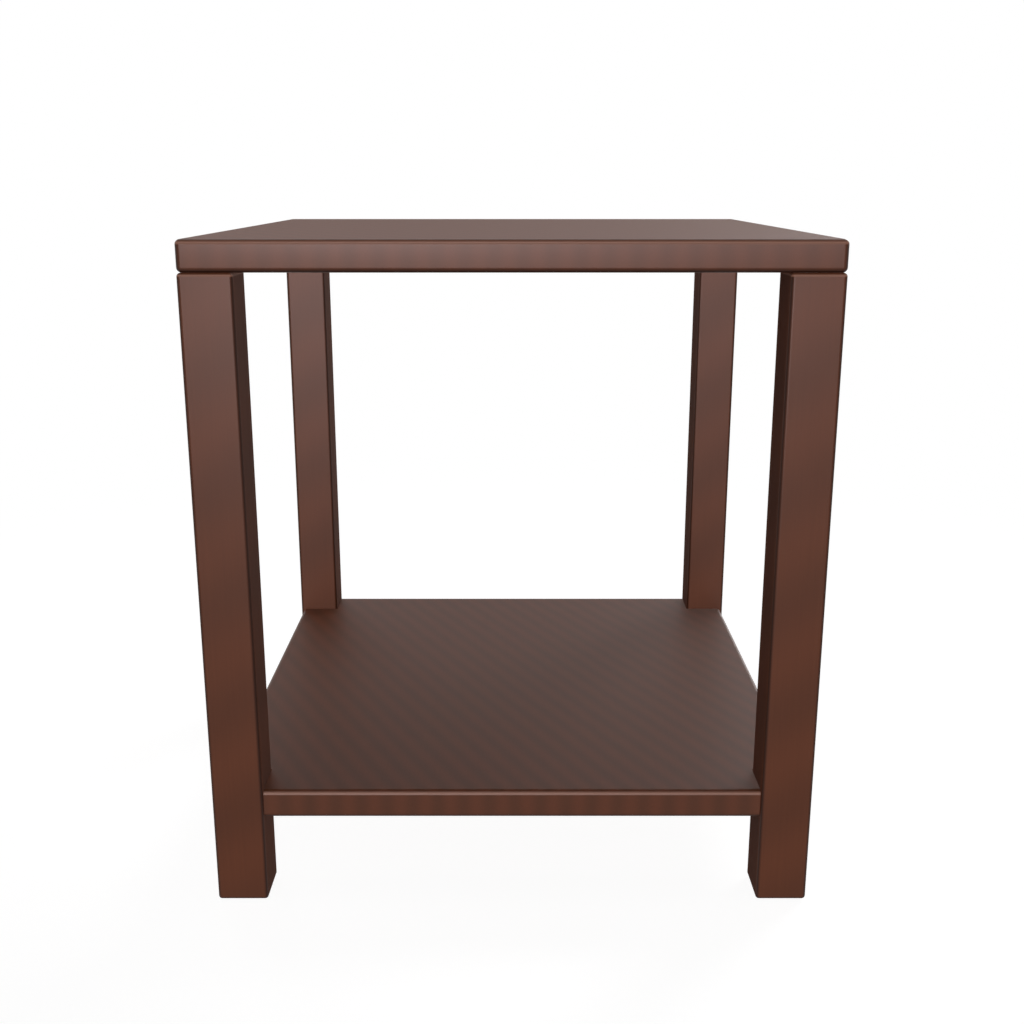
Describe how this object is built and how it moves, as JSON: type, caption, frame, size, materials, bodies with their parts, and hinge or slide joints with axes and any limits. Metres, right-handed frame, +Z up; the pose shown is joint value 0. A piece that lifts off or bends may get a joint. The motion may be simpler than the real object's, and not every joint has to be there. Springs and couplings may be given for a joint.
{
  "type": "end table with shelf",
  "caption": "Square end table: a flat top on plain square corner legs, with a low shelf notched round the legs, in dark reddish-brown stained wood.",
  "frame": {"origin": "on the floor, at the centre of the footprint", "axes": "+Z up, +X to the right and -Y to the front, as someone facing the table sees it"},
  "size_m": [0.508, 0.508, 0.561],
  "materials": {
    "stained_wood": "dark reddish-brown stain under satin lacquer",
    "zinc_plated_steel": "bright zinc plate",
    "pressed_steel": "black powder coat",
    "nylon": "moulded, dark brown"
  },
  "bodies": {
    "root": {"top_panel": "stained_wood", "shelf_panel": "stained_wood", "front_left_leg": "stained_wood", "front_left_threaded_insert": "zinc_plated_steel", "front_left_hanger_bolt": "zinc_plated_steel", "front_left_shelf_bracket": "pressed_steel", "front_left_leg_screws": "zinc_plated_steel", "front_left_shelf_screws": "zinc_plated_steel", "front_left_glide": "nylon", "front_left_glide_screw": "zinc_plated_steel", "front_right_leg": "stained_wood", "front_right_threaded_insert": "zinc_plated_steel", "front_right_hanger_bolt": "zinc_plated_steel", "front_right_shelf_bracket": "pressed_steel", "front_right_leg_screws": "zinc_plated_steel", "front_right_shelf_screws": "zinc_plated_steel", "front_right_glide": "nylon", "front_right_glide_screw": "zinc_plated_steel", "back_left_leg": "stained_wood", "back_left_threaded_insert": "zinc_plated_steel", "back_left_hanger_bolt": "zinc_plated_steel", "back_left_shelf_bracket": "pressed_steel", "back_left_leg_screws": "zinc_plated_steel", "back_left_shelf_screws": "zinc_plated_steel", "back_left_glide": "nylon", "back_left_glide_screw": "zinc_plated_steel", "back_right_leg": "stained_wood", "back_right_threaded_insert": "zinc_plated_steel", "back_right_hanger_bolt": "zinc_plated_steel", "back_right_shelf_bracket": "pressed_steel", "back_right_leg_screws": "zinc_plated_steel", "back_right_shelf_screws": "zinc_plated_steel", "back_right_glide": "nylon", "back_right_glide_screw": "zinc_plated_steel"}
  },
  "joints": []
}
